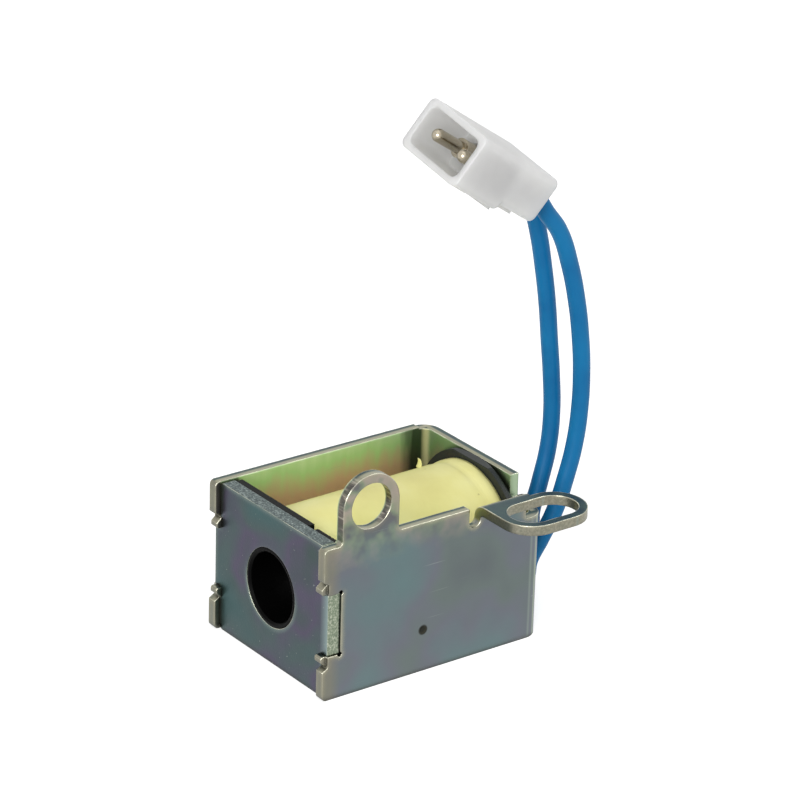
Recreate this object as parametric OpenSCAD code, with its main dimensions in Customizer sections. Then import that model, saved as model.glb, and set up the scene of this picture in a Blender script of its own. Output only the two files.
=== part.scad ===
// Push-pull solenoid: a wound bobbin in an open folded frame with two mounting ears, a plunger
// with a push rod that slides through the bobbin, and two leads that end in a two-pole plug.
// X runs across the frame, Y from the plunger's mouth to the back, and Z up.
// The origin is in the frame's middle plane, on the lower edge of the front plate.

/* [Frame] */
// Width across the two side walls
frame_w = 31; // [30:0.5:34]
// Length from the side walls' front edges to the back face
frame_l = 42.4; // [41.4:0.2:48]
// Height of the side walls
frame_h = 25.4; // [25:0.2:28]
// Thickness of the folded sheet
sheet_t = 1.6; // [1.4:0.1:1.8]
// Inside radius of the two folds at the back
fold_r = 1.4; // [1:0.1:1.8]
// Rounding of the outline's corners
corner_r = 0.8; // [0.4:0.1:1.2]
// Distance that the side walls stand past the front plate
lip = 1; // [0.8:0.1:1.4]
// Thickness of the front plate
plate_t = 2.2; // [2:0.1:2.6]
// Height of the front plate's two tabs
tab_h = 10.2; // [8:0.2:12]
// Distance that the staked lip is pushed in over the front plate
stake_in = 0.5; // [0.3:0.1:0.8]
// Height of each stake
stake_h = 1.8; // [1.4:0.1:2.2]

/* [Round ear] */
// Radius of the round ear
ear_r = 5.2; // [4.8:0.1:6]
// Diameter of the round ear's hole
ear_hole_d = 7.4; // [5:0.1:8]
// Height of that hole's centre above the wall's top edge
ear_rise = 5.4; // [5:0.1:8]
// Distance of that hole's centre behind the middle of the front plate
ear_y = 6.4; // [6.2:0.1:12]

/* [Slotted ear] */
// Radius of the slotted ear's two ends
slot_ear_r = 5; // [4.6:0.1:6]
// Width of the slot
slot_w = 7.2; // [5:0.1:7.6]
// Distance between the slot's two end centres
slot_run = 4.9; // [3:0.1:6]
// Distance of the slot's middle line from the outside of the wall
slot_out = 5.9; // [5.8:0.1:8]
// Distance of the ear's root in front of the back face
root_back = 4.1; // [3.6:0.1:5]
// Width of the ear's root along the wall
root_w = 8.9; // [8:0.1:9.6]
// Inside radius of the ear's fold
ear_fold_r = 0.6; // [0.4:0.1:0.8]
// Width of the relief notch in front of the root
relief_w = 2.2; // [1.8:0.1:2.6]
// Depth of the cutout behind the root, below the wall's top edge
cutout_h = 4.4; // [4:0.1:6]
// Distance of the cutout's end from the middle plane, along the back
cutout_x = 8.2; // [7.6:0.1:9]

/* [Coil] */
// Bore of the bobbin
bore_d = 11.4; // [11:0.1:11.8]
// Wall thickness of the bobbin's tube
tube_wall = 0.8; // [0.7:0.05:1]
// Thickness of the front flange
front_flange_t = 1.3; // [1:0.1:1.6]
// Thickness of the back flange
back_flange_t = 1.7; // [1.5:0.1:2.2]
// Diameter of the copper winding
winding_d = 22.6; // [22:0.1:22.8]
// Thickness of the tape wrap at the front
tape_t = 0.2; // [0.15:0.05:0.3]
// Extra thickness of the tape wrap at the back
tape_gain = 0.3; // [0.2:0.05:0.4]

/* [Plunger] */
// Travel of the plunger
stroke = 7; // [5:0.5:7]
// Radial clearance of the plunger in the bobbin
plunger_gap = 0.1; // [0.05:0.01:0.15]
// Depth of the plunger's face behind the plate's front face when it is pulled in
plunger_depth = 8; // [7.5:0.1:9]
// Length of the plunger's full diameter
plunger_l = 17.6; // [16:0.1:18]
// Diameter of the tapped hole in the plunger
thread_d = 4; // [3:0.5:5]
// Depth of the tapped hole
thread_l = 8; // [6:0.5:8]
// Diameter of the push rod
rod_d = 3; // [2.8:0.1:3.2]
// Radial clearance of the push rod in the fixed core
rod_gap = 0.1; // [0.05:0.01:0.15]

/* [Leads] */
// Outer diameter of a lead
lead_d = 2.8; // [2.4:0.1:2.8]
// Diameter of its stranded conductor
strand_d = 1.2; // [1:0.1:1.3]

/* [Plug] */
// Width of the plug, along the row of pins
plug_w = 13.6; // [13:0.1:14.4]
// Height of the plug's shroud
plug_h = 8.8; // [8.4:0.1:9.6]
// Length of the shroud around the pins
shroud_l = 11.1; // [10:0.1:12]
// Length of the body behind the shroud
plug_body_l = 8.8; // [8.6:0.1:10]
// Thickness of the shroud's walls
shroud_wall = 1; // [0.8:0.1:1.2]
// Distance between the two pins
pin_pitch = 6.35; // [6:0.05:6.5]
// Diameter of a pin
pin_d = 2.1; // [1.6:0.1:2.3]

/* [Hidden] */
$fn = 72;
eps = 0.01;
// Play of one punched piece in another
seat_gap = 0.05;

// Frame: faces and fold lines
wall_out = frame_w / 2;
wall_in = wall_out - sheet_t;
plate_y = plate_t / 2;
front_y = -plate_y - lip;
back_y = front_y + frame_l;
inner_y = back_y - sheet_t;
fold_y = inner_y - fold_r;
fold_x = wall_in - fold_r;
axis_z = frame_h / 2;

// Tab and stake joint between the walls and the front plate
tab_play = 0.1;
tab_z = 7.4;
tab_reach = sheet_t - 0.3;
slot_bottom = tab_z - tab_play;
slot_top = tab_z + tab_h + tab_play;
stake_v = 0.6;
stake_round = 0.25;
stake_slope = 0.9;
relief_r = 0.42;
bore_chamfer = 0.3;

// Round ear: fillets where it meets the wall
ear_fillet = 0.7;
ear_z = frame_h + ear_rise;
dimple_y = 16.8;
dimple_z = 7.1;
dimple_r = 0.9;
dimple_depth = 0.3;

// Slotted ear: root, fold and plate
root_y1 = back_y - root_back;
root_y0 = root_y1 - root_w;
ear_fold_out = ear_fold_r + sheet_t;
ear_fold_x = wall_out + ear_fold_r;
ear_fold_z = frame_h - ear_fold_out;
slot_x = wall_out + slot_out;
slot_y0 = root_y0 + slot_ear_r;
slot_y1 = slot_y0 + slot_run;
relief_depth = 3.3;
cutout_z = frame_h - cutout_h;
cutout_r = 0.5;

// Back wall: its lower top edge, the core's hole and the notch for the leads
back_drop = 0.3;
spigot_d = 6.5;
lead_notch_side = 1.9;
lead_notch_top = 2;
lead_notch_r = 0.8;

// Bobbin
bore_r = bore_d / 2;
tube_r = bore_r + tube_wall;
nose_r = tube_r - 0.1;
nose_gap = 0.1;
coil_y0 = plate_y + front_flange_t;
coil_y1 = inner_y - back_flange_t;
flange_gap = 0.2;
flange_w = 2 * (wall_in - flange_gap);
flange_h = frame_h - 2 * flange_gap;
back_flange_r = wall_in - 0.6;
back_chamfer = 0.9;
key_x = 6.4;
key_w = 1;
key_h = 1.2;
step_h = 0.4;

// Winding and tape
winding_r = winding_d / 2;
tape_end = 0.2;
tape_ridge = 0.15;
tape_ridge_l = 1.6;
flag_x = -6;
flag_y = 31;
flag_w = 1.3;
flag_h = 1.5;
flag_t = 0.2;

// Places of the two leads where they pass the back wall, seen from behind as [x, z]
lead_a_exit = [6, axis_z - 10.4];
lead_b_exit = [8.4, axis_z - 7.9];
lead_notch_x = [lead_a_exit[0] - lead_notch_side, lead_b_exit[0] + lead_notch_side];
lead_notch_h = lead_b_exit[1] + lead_notch_top;
lead_r = lead_d / 2;
tail_front = 27;
sleeve_l = 5.5;
sleeve_wall = 0.3;
crimp_l = 3;
crimp_start = 1;
tail_r = 0.2;
lead_start = tail_front + sleeve_l;
grommet_lip = 0.6;
grommet_lip_t = 1;
grommet_play = 0.1;

// Plunger, core and push rod, all on the bobbin's axis
plunger_r = bore_r - plunger_gap;
plunger_y0 = plunger_depth - plate_y;
plunger_y1 = plunger_y0 + plunger_l;
nose_cone_l = 3.8;
nose_cone_r0 = 4.3;
nose_cone_r1 = 2;
shim_t = 0.5;
core_y0 = plunger_y1 + shim_t;
core_gap = 0.03;
core_r = bore_r - core_gap;
cone_gap = 0.5;
cone_depth = nose_cone_l + cone_gap - shim_t;
head_t = 0.5;
head_r = 4;
rod_r = rod_d / 2;
rod_y0 = plunger_y0 + thread_l + 1.5;
washer_t = 1;
washer_r = 3.2;
washer_y = back_y + head_t + stroke;
clip_t = 0.6;
clip_r = 2.9;
clip_groove_r = rod_r - 0.3;
clip_y = washer_y + washer_t;
rod_y1 = clip_y + clip_t + 1;
rod_chamfer = 0.4;

// Plug: place of the middle of its back face, as x, y from the frame's back face and z from the
// bobbin's axis, and its tilt
plug_at = [4.7, -0.1, 59.5];
plug_tilt = [-34, 13.2, 1.3];
plug_l = shroud_l + plug_body_l;
plug_r = 1.2;
under_step = 1.1;
flare_h = 0.4;
mouth_depth = shroud_l - 0.5;
cavity_r = 2.1;
web_hole_r = 1.7;
web_t = 1.2;
pin_recess = 0.9;
barrel_r = 1.6;
barrel_l = 9.1;
barrel_out = 2.9;
seam_w = 0.16;
lance_r = 1.95;
lance_l = 1.8;
wire_grip_l = 1.7;
wire_grip_gap = 0.1;
wire_grip_wall = 0.3;
rib_h = 0.6;
rib_w = 9;
rib_end = 2.7;

// Routes of the two leads: x, y from the frame's back face, z from the bobbin's axis
lead_a_route = [
    [6, -7, -10.4], [6, 1.2, -10.4], [5.9, 3.2, -9.5], [5.7, 4.6, -7.1], [5.4, 5.2, -3.7],
    [5, 5.4, -0.7], [4.6, 5.9, 2.6], [3.9, 7.9, 7.3], [3.4, 9.7, 12.8], [2.9, 10.5, 18.6],
    [2.5, 10.4, 24.7], [2.2, 9.9, 30.8], [2, 9.3, 37], [1.9, 8.3, 43.2], [1.7, 7.1, 49.3],
    [1.5, 6, 53.1], [1.3, 4.2, 56.7], [1.2, 2, 58.8], [2, -2.4, 61.7]
];
lead_b_route = [
    [8.4, -7, -7.9], [8.4, 1.2, -7.9], [8.4, 2.2, -6.7], [8.3, 2.9, -3.6], [8.4, 4.9, -0.3],
    [8.4, 7.6, 4.2], [8.3, 9.5, 9.1], [8.2, 11.1, 14.7], [8.1, 11.9, 20.6], [8, 12, 26.8],
    [8, 11.4, 33], [8, 10.3, 39.2], [8, 8.6, 45.5], [8, 6.1, 51.7], [7.8, 3.6, 55.1],
    [7.4, 2.1, 57.4], [8.2, -2.3, 60.3]
];
lead_sides = 8;

// ---- helpers ----

// Extrudes an outline drawn in (y, z) across the frame, from x0 towards +X
module across(x0, t) {
    translate([x0, 0, 0]) rotate([90, 0, 90]) linear_extrude(t) children();
}

// Extrudes an outline drawn in (x, z) along the frame, from y0 towards +Y
module along(y0, t) {
    translate([0, y0 + t, 0]) rotate([90, 0, 0]) linear_extrude(t) children();
}

// Turns a shape that stands on Z into one that runs back along the bobbin's axis from y0
module on_axis(y0) {
    translate([0, y0, axis_z]) rotate([-90, 0, 0]) children();
}

// A rod that runs back from y0 at x, z
module rod(x, z, y0, y1, r) {
    translate([x, y0, z]) rotate([-90, 0, 0]) cylinder(h = y1 - y0, r = r);
}

// A rectangle with its lower left corner at the origin and all four corners rounded
module rounded_rect(w, h, r) {
    translate([r, 0]) square([w - 2 * r, h]);
    translate([0, r]) square([w, h - 2 * r]);
    for (x = [r, w - r], y = [r, h - r]) {
        translate([x, y]) circle(r);
    }
}

// A round-ended bar along y
module stadium(x, y0, y1, r) {
    translate([x, y0]) circle(r);
    translate([x, y1]) circle(r);
    translate([x - r, y0]) square([2 * r, y1 - y0]);
}

// A quarter of a folded sheet around Z, from +X to +Y
module fold(inner_r, length) {
    rotate_extrude(angle = 90) translate([inner_r, 0]) square([sheet_t, length]);
}

// A concave fillet in the corner at the origin, filling towards +x and +y
module fillet(r) {
    difference() {
        translate([-eps, -eps]) square(r + eps);
        translate([r, r]) circle(r);
    }
}

// ---- frame ----

// Outline of a side wall in (y, z): its front corners are rounded and its back edge is the fold
module wall_outline() {
    difference() {
        union() {
            translate([front_y, 0]) rounded_rect(fold_y - front_y, frame_h, corner_r);
            translate([fold_y - 2 * corner_r, 0]) square([2 * corner_r, frame_h]);
        }
        tab_notch();
        for (z = [slot_bottom - stake_h, slot_top]) {
            translate([front_y - eps, z]) square([lip + eps, stake_h]);
        }
        stake_groove(slot_top + stake_h, 1);
        stake_groove(slot_bottom - stake_h, -1);
    }
}

// Notch in a wall's front edge for the plate's tab, with a relief in each inner corner
module tab_notch() {
    notch_y = plate_y + tab_play;
    translate([front_y - 1, slot_bottom]) square([notch_y - front_y + 1, slot_top - slot_bottom]);
    for (z = [slot_bottom, slot_top]) {
        translate([notch_y - relief_r / 3, z]) circle(relief_r);
    }
}

// Chisel groove that the staking leaves beyond a stake
module stake_groove(z, side) {
    polygon([[front_y - eps, z - side * eps], [front_y - eps, z + side * stake_v], [-plate_y, z]]);
}

// A piece of lip pushed in over the plate: full at the notch, sloping down into its groove
module stake(z, side) {
    across(wall_in - stake_in, sheet_t) polygon([
        [-plate_y, z], [front_y + stake_round, z], [front_y, z + side * stake_round],
        [front_y, z + side * (stake_h - stake_slope)], [-plate_y, z + side * stake_h]
    ]);
}

// The stakes above and below the notch of the +X wall
module stakes() {
    stake(slot_top, 1);
    stake(slot_bottom, -1);
}

// Round ear in (y, z), standing in the plane of the +X wall
module ear_outline() {
    translate([ear_y, ear_z]) circle(ear_r);
    translate([ear_y - ear_r, frame_h - 1]) square([2 * ear_r, ear_rise + 1]);
    translate([ear_y + ear_r, frame_h]) fillet(ear_fillet);
    translate([ear_y - ear_r, frame_h]) mirror([1, 0]) fillet(ear_fillet);
}

// Relief notch with a round bottom, in front of the slotted ear's root
module relief_outline() {
    r = relief_w / 2;
    translate([root_y0 - relief_w, frame_h - relief_depth + r]) square([relief_w, relief_depth]);
    translate([root_y0 - r, frame_h - relief_depth + r]) circle(r);
}

// Cutout that frees the slotted ear's back end, with a rounded inner corner
module cutout_outline(start) {
    translate([start + cutout_r, cutout_z]) square([20, frame_h]);
    translate([start, cutout_z + cutout_r]) square([20, frame_h]);
    translate([start + cutout_r, cutout_z + cutout_r]) circle(cutout_r);
}

module near_wall() {
    across(wall_in, sheet_t) difference() {
        union() {
            wall_outline();
            ear_outline();
        }
        translate([ear_y, ear_z]) circle(d = ear_hole_d);
        relief_outline();
        translate([root_y0 - eps, ear_fold_z]) square([root_w + 2 * eps, frame_h]);
        cutout_outline(root_y1);
    }
}

// The slotted ear, folded outwards from the +X wall
module slotted_ear() {
    translate([ear_fold_x, root_y0, ear_fold_z])
        rotate([-90, 0, 0]) rotate([0, 0, 180]) fold(ear_fold_r, root_w);
    translate([0, 0, frame_h - sheet_t]) linear_extrude(sheet_t) difference() {
        union() {
            translate([ear_fold_x, root_y0]) square([slot_x - ear_fold_x, root_w]);
            stadium(slot_x, slot_y0, slot_y1, slot_ear_r);
        }
        stadium(slot_x, slot_y0, slot_y1, slot_w / 2);
    }
}

module back_wall() {
    along(inner_y, sheet_t) difference() {
        translate([-fold_x, 0]) square([2 * fold_x, frame_h - back_drop]);
        translate([0, axis_z]) circle(d = spigot_d);
        cutout_outline(cutout_x);
        lead_notch();
    }
}

// Notch in the back wall's lower edge for the leads' grommet
module lead_notch() {
    x0 = lead_notch_x[0];
    width = lead_notch_x[1] - x0;
    translate([x0, -1]) square([width, lead_notch_h + 1 - lead_notch_r]);
    translate([x0, lead_notch_h - 3]) rounded_rect(width, 3, lead_notch_r);
}

module frame() {
    color([0.60, 0.65, 0.64]) difference() {
        union() {
            near_wall();
            across(-wall_out, sheet_t) wall_outline();
            stakes();
            mirror([1, 0, 0]) stakes();
            back_wall();
            translate([fold_x, fold_y, 0]) fold(fold_r, cutout_z);
            translate([-fold_x, fold_y, 0]) mirror([1, 0, 0]) fold(fold_r, frame_h - back_drop);
            slotted_ear();
        }
        translate([wall_out + dimple_r - dimple_depth, dimple_y, dimple_z]) sphere(dimple_r);
    }
}

// ---- front plate ----

module front_plate() {
    width = 2 * (wall_in - seat_gap);
    color([0.52, 0.57, 0.58]) difference() {
        along(-plate_y, plate_t) union() {
            translate([-width / 2, 0]) rounded_rect(width, frame_h - 2 * seat_gap, corner_r);
            reach = wall_in + tab_reach;
            translate([-reach, tab_z]) square([2 * reach, tab_h]);
        }
        on_axis(-plate_y - 1) cylinder(h = plate_t + 2, r = nose_r + nose_gap);
    }
}

// ---- coil ----

// Front flange in (x, z), with a key notch in its top edge and a lower step beyond it
module front_flange_outline() {
    difference() {
        translate([-flange_w / 2, flange_gap]) rounded_rect(flange_w, flange_h, corner_r);
        translate([key_x, frame_h - flange_gap - key_h]) square([key_w, key_h + 1]);
        translate([key_x, frame_h - flange_gap - step_h]) square([flange_w, step_h + 1]);
    }
}

// Back flange: a disc with flats at top and bottom, chamfered to clear the folds
module back_flange() {
    intersection() {
        on_axis(coil_y1) union() {
            cylinder(h = back_flange_t - back_chamfer, r = back_flange_r);
            translate([0, 0, back_flange_t - back_chamfer])
                cylinder(h = back_chamfer, r1 = back_flange_r, r2 = back_flange_r - back_chamfer);
        }
        translate([-frame_w / 2, coil_y1 - 1, flange_gap]) cube([frame_w, 10, flange_h]);
    }
}

module bobbin() {
    slot_r = lead_r + 0.1;
    color([0.08, 0.08, 0.09]) difference() {
        union() {
            on_axis(-plate_y) cylinder(h = plate_t + eps, r = nose_r);
            on_axis(plate_y) cylinder(h = inner_y - plate_y, r = tube_r);
            along(plate_y, front_flange_t) front_flange_outline();
            back_flange();
        }
        on_axis(-plate_y - 1) cylinder(h = frame_l + 2, r = bore_r);
        on_axis(-plate_y - eps) cylinder(h = bore_chamfer, r1 = bore_r + bore_chamfer, r2 = bore_r);
        for (exit = [lead_a_exit, lead_b_exit]) {
            rod(exit[0], exit[1], coil_y1 - 1, inner_y + 1, slot_r);
        }
    }
}

// Copper winding, with a groove pressed in for each lead's end
module winding() {
    color([0.72, 0.40, 0.20]) difference() {
        on_axis(coil_y0) cylinder(h = coil_y1 - coil_y0, r = winding_r);
        on_axis(coil_y0 - 1) cylinder(h = frame_l, r = tube_r);
        for (exit = [lead_a_exit, lead_b_exit]) {
            rod(exit[0], exit[1], tail_front, frame_l, lead_r + seat_gap);
        }
    }
}

// Profile of the tape wrap's outside as [radius, distance along the axis]
module tape_profile() {
    y0 = tape_end;
    y1 = coil_y1 - coil_y0;
    front_r = winding_r + tape_t;
    back_r = front_r + tape_gain;
    ridge_y = y1 - tape_ridge_l;
    polygon([[0, y0], [front_r, y0], [back_r, ridge_y], [back_r + tape_ridge, ridge_y + 0.3],
        [back_r + tape_ridge, y1], [0, y1]]);
}

// Tape wrapped round the winding: it bulges over the ends of the leads, and its end stands up
module coil_tape() {
    flag_z = axis_z + sqrt(pow(winding_r, 2) - pow(flag_x, 2));
    color([0.88, 0.86, 0.60]) difference() {
        union() {
            on_axis(coil_y0) rotate_extrude() tape_profile();
            for (exit = [lead_a_exit, lead_b_exit]) {
                rod(exit[0], exit[1], tail_front - 1, coil_y1, lead_r + tape_t);
            }
            translate([flag_x - flag_w / 2, flag_y, flag_z - 0.6]) cube([flag_w, flag_t, flag_h + 0.9]);
        }
        on_axis(coil_y0 - 1) cylinder(h = frame_l, r = winding_r);
        for (exit = [lead_a_exit, lead_b_exit]) {
            rod(exit[0], exit[1], tail_front, frame_l, lead_r + seat_gap);
        }
    }
}

// ---- splices, under the tape ----

// Fine wire from the winding into the crimp
module coil_tail(exit) {
    color([0.75, 0.42, 0.20]) rod(exit[0], exit[1], tail_front, tail_front + crimp_start + 1, tail_r);
}

// Crimp that joins the fine wire to the lead's conductor
module splice_crimp(exit) {
    y0 = tail_front + crimp_start;
    color([0.80, 0.78, 0.70]) difference() {
        rod(exit[0], exit[1], y0, y0 + crimp_l, lead_r - sleeve_wall);
        rod(exit[0], exit[1], y0 + 1, y0 + crimp_l + 1, strand_d / 2);
        rod(exit[0], exit[1], y0 - 1, y0 + 1 + eps, tail_r);
    }
}

// Shrunk sleeve round the crimp
module splice_sleeve(exit) {
    color([0.12, 0.12, 0.13]) difference() {
        rod(exit[0], exit[1], tail_front, lead_start, lead_r);
        rod(exit[0], exit[1], tail_front - 1, lead_start + 1, lead_r - sleeve_wall);
    }
}

// Bare end of a lead's stranded conductor
module conductor(exit) {
    y0 = tail_front + crimp_start + 1;
    color([0.80, 0.48, 0.26]) rod(exit[0], exit[1], y0, lead_start, strand_d / 2);
}

// ---- leads ----

function unit(v) = v / norm(v);

// Direction of a route at point i, from its neighbours
function heading(route, i) =
    unit(route[min(i + 1, len(route) - 1)] - route[max(i - 1, 0)]);

// One ring of a tube: points at radius r round a point of the route
function ring(route, i, r) =
    let (t = heading(route, i), side = unit(cross(t, [1, 0, 0])), up = cross(side, t))
    [for (k = [0 : lead_sides - 1])
        let (a = 360 * k / lead_sides) route[i] + r * (cos(a) * side + sin(a) * up)];

// A tube swept along a route, as one closed polyhedron
module tube(route, r) {
    n = len(route);
    points = [for (i = [0 : n - 1]) each ring(route, i, r)];
    walls = [for (i = [0 : n - 2], k = [0 : lead_sides - 1])
        let (a = i * lead_sides + k, b = i * lead_sides + (k + 1) % lead_sides)
        each [[a, b, a + lead_sides], [b, b + lead_sides, a + lead_sides]]];
    first_end = [for (k = [lead_sides - 1 : -1 : 0]) k];
    last_end = [for (k = [0 : lead_sides - 1]) (n - 1) * lead_sides + k];
    polyhedron(points = points, faces = concat([first_end, last_end], walls));
}

module lead(route) {
    color([0.09, 0.42, 0.70]) translate([0, back_y, axis_z]) tube(route, lead_r);
}

// Grommet in the back wall's notch, with one hole for each lead
module lead_grommet() {
    x0 = lead_notch_x[0] + grommet_play;
    width = lead_notch_x[1] - lead_notch_x[0] - 2 * grommet_play;
    height = lead_notch_h - grommet_play;
    color([0.10, 0.10, 0.11]) difference() {
        union() {
            along(inner_y, sheet_t + eps) translate([x0, 0]) rounded_rect(width, height, lead_notch_r);
            along(back_y, grommet_lip_t) translate([x0 - grommet_lip, 0])
                rounded_rect(width + 2 * grommet_lip, height + grommet_lip, lead_notch_r);
        }
        for (exit = [lead_a_exit, lead_b_exit]) {
            rod(exit[0], exit[1], inner_y - 1, back_y + 3, lead_r);
        }
    }
}

// ---- core and plunger ----

// Fixed core: fills the back of the bore, with a cone recess for the plunger's nose, a bore for
// the push rod, and a spigot staked behind the back wall
module fixed_core() {
    color([0.68, 0.69, 0.70]) difference() {
        union() {
            on_axis(core_y0) cylinder(h = inner_y - core_y0, r = core_r);
            on_axis(inner_y - eps) cylinder(h = sheet_t + head_t, r = spigot_d / 2 - seat_gap);
            on_axis(back_y) cylinder(h = head_t, r = head_r);
        }
        on_axis(core_y0 - eps) cylinder(h = cone_depth, r1 = nose_cone_r0 + cone_gap, r2 = nose_cone_r1 + cone_gap);
        on_axis(core_y0) cylinder(h = frame_l, r = rod_r + rod_gap);
    }
}

// Thin washer on the core's face that keeps the plunger from sticking
module shim_washer() {
    color([0.80, 0.66, 0.36]) difference() {
        on_axis(plunger_y1) cylinder(h = shim_t, r = core_r);
        on_axis(plunger_y1 - 1) cylinder(h = shim_t + 2, r = nose_cone_r0 + cone_gap);
    }
}

module plunger() {
    body_chamfer = 0.4;
    color([0.72, 0.73, 0.74]) difference() {
        union() {
            on_axis(plunger_y0) cylinder(h = body_chamfer, r1 = plunger_r - body_chamfer, r2 = plunger_r);
            on_axis(plunger_y0 + body_chamfer) cylinder(h = plunger_l - body_chamfer, r = plunger_r);
            on_axis(plunger_y1) cylinder(h = nose_cone_l, r1 = nose_cone_r0, r2 = nose_cone_r1);
        }
        on_axis(plunger_y0 - 1) cylinder(h = thread_l + 1, d = thread_d);
        on_axis(rod_y0) cylinder(h = frame_l, r = rod_r);
    }
}

module push_rod() {
    color([0.80, 0.80, 0.80]) difference() {
        union() {
            on_axis(rod_y0) cylinder(h = rod_y1 - rod_chamfer - rod_y0, r = rod_r);
            on_axis(rod_y1 - rod_chamfer) cylinder(h = rod_chamfer, r1 = rod_r, r2 = rod_r - rod_chamfer);
        }
        difference() {
            on_axis(clip_y) cylinder(h = clip_t, r = rod_r + 1);
            on_axis(clip_y - 1) cylinder(h = clip_t + 2, r = clip_groove_r);
        }
    }
}

// Washer on the push rod that stops it on the core's head at the end of the stroke
module stop_washer() {
    color([0.20, 0.20, 0.21]) difference() {
        on_axis(washer_y) cylinder(h = washer_t, r = washer_r);
        on_axis(washer_y - 1) cylinder(h = washer_t + 2, r = rod_r + seat_gap);
    }
}

// Open clip in the push rod's groove
module retaining_clip() {
    color([0.45, 0.45, 0.47]) difference() {
        on_axis(clip_y) cylinder(h = clip_t, r = clip_r);
        on_axis(clip_y - 1) cylinder(h = clip_t + 2, r = clip_groove_r);
        translate([-clip_groove_r * 0.8, clip_y - 1, axis_z - clip_r - 1])
            cube([clip_groove_r * 1.6, clip_t + 2, clip_r + 1]);
    }
}

// ---- plug ----

// Puts a shape drawn with the plug's back face on y = 0 and its mouth towards -Y in its place
module in_plug() {
    translate([0, back_y, axis_z]) translate(plug_at) rotate(plug_tilt) children();
}

// A block between two distances behind the mouth: width, bottom and top, with rounded edges
module plug_block(y0, y1, w, z0, z1) {
    translate([-w / 2, 0, z0]) along(y0, y1 - y0) rounded_rect(w, z1 - z0, plug_r);
}

// A pin cavity: wide behind the web, narrow through it
module pin_cavity(x) {
    web_y = mouth_depth - plug_l;
    rod(x, 0, web_y - 1, web_y + web_t + 1, web_hole_r);
    rod(x, 0, web_y + web_t, 1, cavity_r);
}

module connector_housing() {
    inner_w = plug_w - 2 * shroud_wall;
    inner_h = plug_h - 2 * shroud_wall;
    body_z0 = under_step - plug_h / 2;
    flare_x = plug_w / 2 - plug_r;
    color([0.90, 0.91, 0.92]) in_plug() difference() {
        union() {
            plug_block(-plug_l, -plug_body_l, plug_w, -plug_h / 2, plug_h / 2);
            plug_block(-plug_body_l - 1, 0, plug_w, body_z0, plug_h / 2);
            across(-flare_x, 2 * flare_x) translate([-plug_body_l, -plug_h / 2])
                polygon([[-shroud_l / 2, 0], [0, -flare_h], [0, shroud_wall / 2], [-shroud_l / 2, shroud_wall / 2]]);
            translate([-rib_w / 2, -plug_body_l - 1, body_z0 - rib_h])
                cube([rib_w, plug_body_l + 1 - rib_end, rib_h + 1]);
        }
        plug_block(-plug_l - 1, mouth_depth - plug_l, inner_w, -inner_h / 2, inner_h / 2);
        for (x = [-pin_pitch / 2, pin_pitch / 2]) {
            pin_cavity(x);
        }
    }
}

// A stamped pin with a rolled seam, its barrel, two lances and the grip on the lead's end
module terminal(x) {
    tip_y = pin_recess - plug_l;
    barrel_y0 = mouth_depth - plug_l - barrel_out;
    barrel_y1 = barrel_y0 + barrel_l;
    pin_r = pin_d / 2;
    grip_r = lead_r + wire_grip_gap;
    lance_y = mouth_depth - plug_l + web_t + 0.1;
    color([0.78, 0.76, 0.72]) in_plug() difference() {
        union() {
            translate([x, tip_y + pin_r, 0]) sphere(pin_r);
            rod(x, 0, tip_y + pin_r, barrel_y0 + 1, pin_r);
            rod(x, 0, barrel_y0, barrel_y1, barrel_r);
            rod(x, 0, barrel_y1 - eps, barrel_y1 + wire_grip_l, grip_r + wire_grip_wall);
            translate([x - lance_r, lance_y, -0.3]) cube([2 * lance_r, lance_l, 0.6]);
        }
        rod(x, 0, barrel_y1, barrel_y1 + wire_grip_l + 1, grip_r);
        translate([x - seam_w / 2, tip_y - 1, pin_r - 0.3]) cube([seam_w, barrel_y0 - tip_y + 1, 1]);
    }
}

frame();
front_plate();
bobbin();
winding();
coil_tape();
coil_tail(lead_a_exit);  // coil_tail_a
coil_tail(lead_b_exit);  // coil_tail_b
splice_crimp(lead_a_exit);  // splice_crimp_a
splice_crimp(lead_b_exit);  // splice_crimp_b
splice_sleeve(lead_a_exit);  // splice_sleeve_a
splice_sleeve(lead_b_exit);  // splice_sleeve_b
conductor(lead_a_exit);  // conductor_a
conductor(lead_b_exit);  // conductor_b
lead_grommet();
lead(lead_a_route);  // lead_a
lead(lead_b_route);  // lead_b
fixed_core();
shim_washer();
plunger();
push_rod();
stop_washer();
retaining_clip();
connector_housing();
terminal(-pin_pitch / 2);  // terminal_a
terminal(pin_pitch / 2);  // terminal_b
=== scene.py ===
"""Looks of a push-pull solenoid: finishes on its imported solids, its two leads and its tape wrap.

Everything is in metres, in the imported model's own frame: X across the frame, Y from the plunger's
mouth to the back, Z up.
"""

import math
from types import SimpleNamespace

import bmesh
import bpy
from mathutils import Matrix, Vector, noise


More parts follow.
